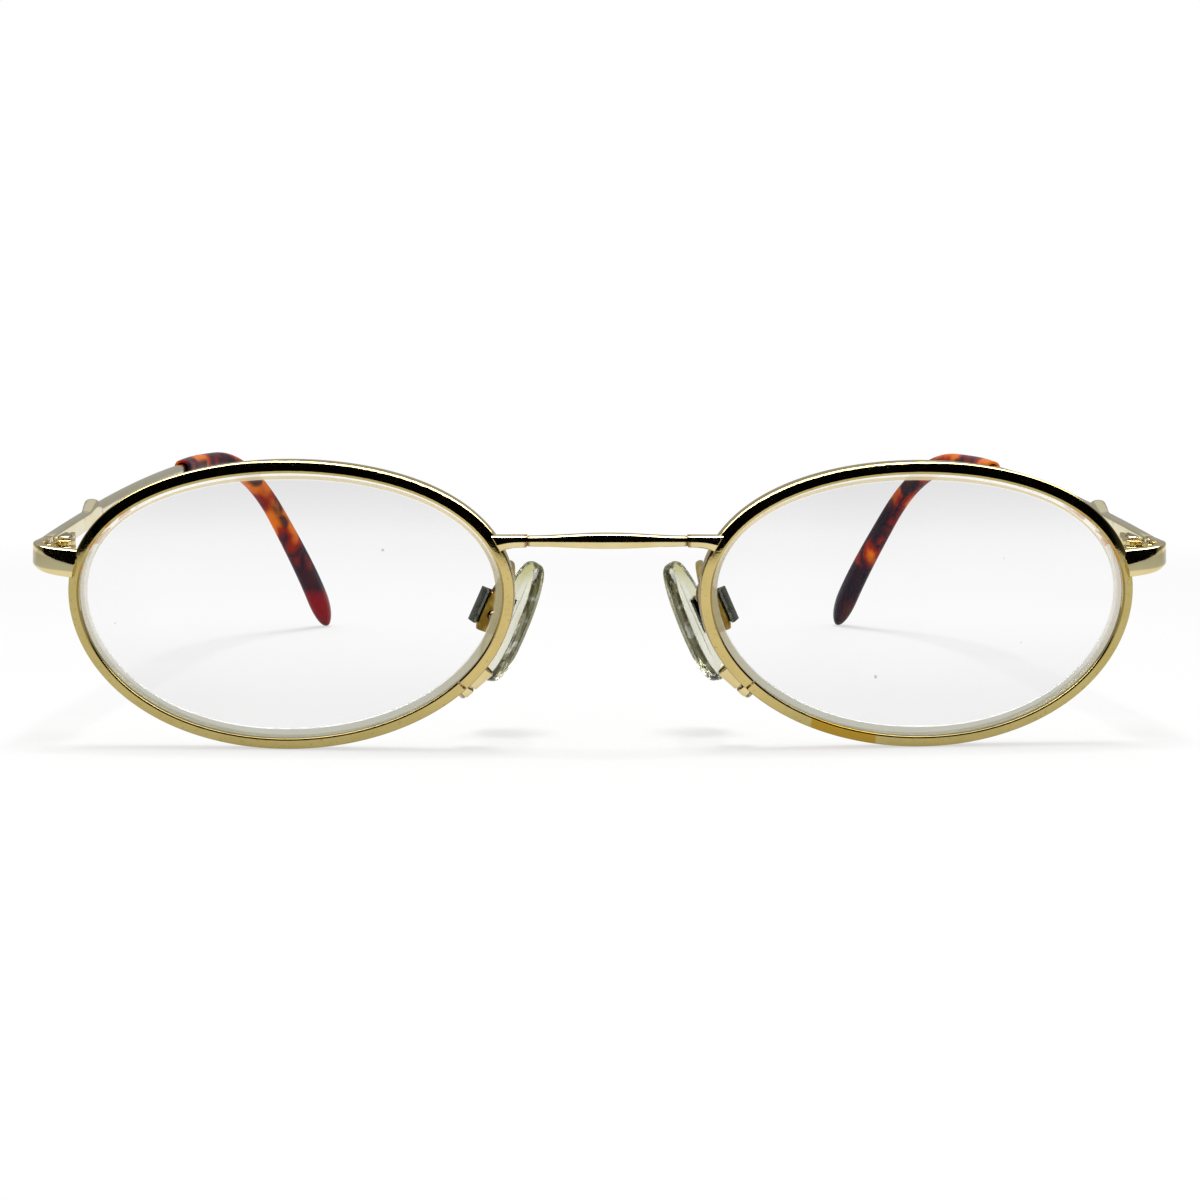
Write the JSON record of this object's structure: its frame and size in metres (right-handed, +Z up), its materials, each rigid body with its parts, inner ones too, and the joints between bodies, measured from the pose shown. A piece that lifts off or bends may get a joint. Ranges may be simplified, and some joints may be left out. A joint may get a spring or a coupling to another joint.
{
  "type": "oval metal reading glasses",
  "caption": "Oval full-rim metal glasses with a bar bridge, rocking clear nose pads, folding temples and curved mottled plastic temple tips.",
  "frame": {"origin": "middle of the glasses' bounding box in plan, at the height of the table that the rims and the temple tips stand on", "axes": "+Z up from the table, -Y the way the lenses face, +Y back along the open temples, +X towards the wearer's left"},
  "size_m": [0.1304, 0.1352, 0.0337],
  "materials": {
    "gold_plate": "polished yellow gold plate",
    "steel": "bright nickel-plated",
    "lens_glass": "clear, polished",
    "clear_pad": "clear soft plastic, faintly yellowed",
    "tortoise": "polished, mottled amber, red-brown and near black"
  },
  "bodies": {
    "front": {"rim_left": "gold_plate", "rim_right": "gold_plate", "lens_left": "lens_glass", "lens_right": "lens_glass", "rim_lock_upper_left": "gold_plate", "rim_lock_upper_right": "gold_plate", "rim_lock_lower_left": "gold_plate", "rim_lock_lower_right": "gold_plate", "rim_lock_screw_left": "steel", "rim_lock_screw_right": "steel", "bridge_bar": "gold_plate", "bridge_stub_left": "gold_plate", "bridge_stub_right": "gold_plate", "end_piece_left": "gold_plate", "end_piece_right": "gold_plate", "hinge_front_left": "gold_plate", "hinge_front_right": "gold_plate", "hinge_screw_left": "steel", "hinge_screw_right": "steel", "pad_arm_left": "gold_plate", "pad_arm_right": "gold_plate"},
    "left_side": {"temple_left": "gold_plate", "hinge_temple_left": "gold_plate", "temple_tip_left": "tortoise"},
    "right_side": {"temple_right": "gold_plate", "hinge_temple_right": "gold_plate", "temple_tip_right": "tortoise"},
    "left_pad": {"nose_pad_left": "clear_pad", "pad_clip_left": "steel", "pad_pin_left": "steel"},
    "right_pad": {"nose_pad_right": "clear_pad", "pad_clip_right": "steel", "pad_pin_right": "steel"}
  },
  "joints": [
    {"name": "left_temple_fold", "type": "hinge", "parent": "front", "child": "left_side", "pos_m": [0.0621, -0.0555, 0.0223], "axis": [0, -0.1045, 0.9945], "range_deg": [0, 86]},
    {"name": "right_temple_fold", "type": "hinge", "parent": "front", "child": "right_side", "pos_m": [-0.0621, -0.0555, 0.0223], "axis": [0, 0.1045, -0.9945], "range_deg": [0, 78]},
    {"name": "left_pad_rock", "type": "hinge", "parent": "front", "child": "left_pad", "pos_m": [0.0132, -0.05427, 0.01448], "axis": [0.4319, 0.8832, 0.1829], "range_deg": [-6, 6]},
    {"name": "right_pad_rock", "type": "hinge", "parent": "front", "child": "right_pad", "pos_m": [-0.0132, -0.05427, 0.01448], "axis": [-0.4319, 0.8832, 0.1829], "range_deg": [-6, 6]}
  ]
}
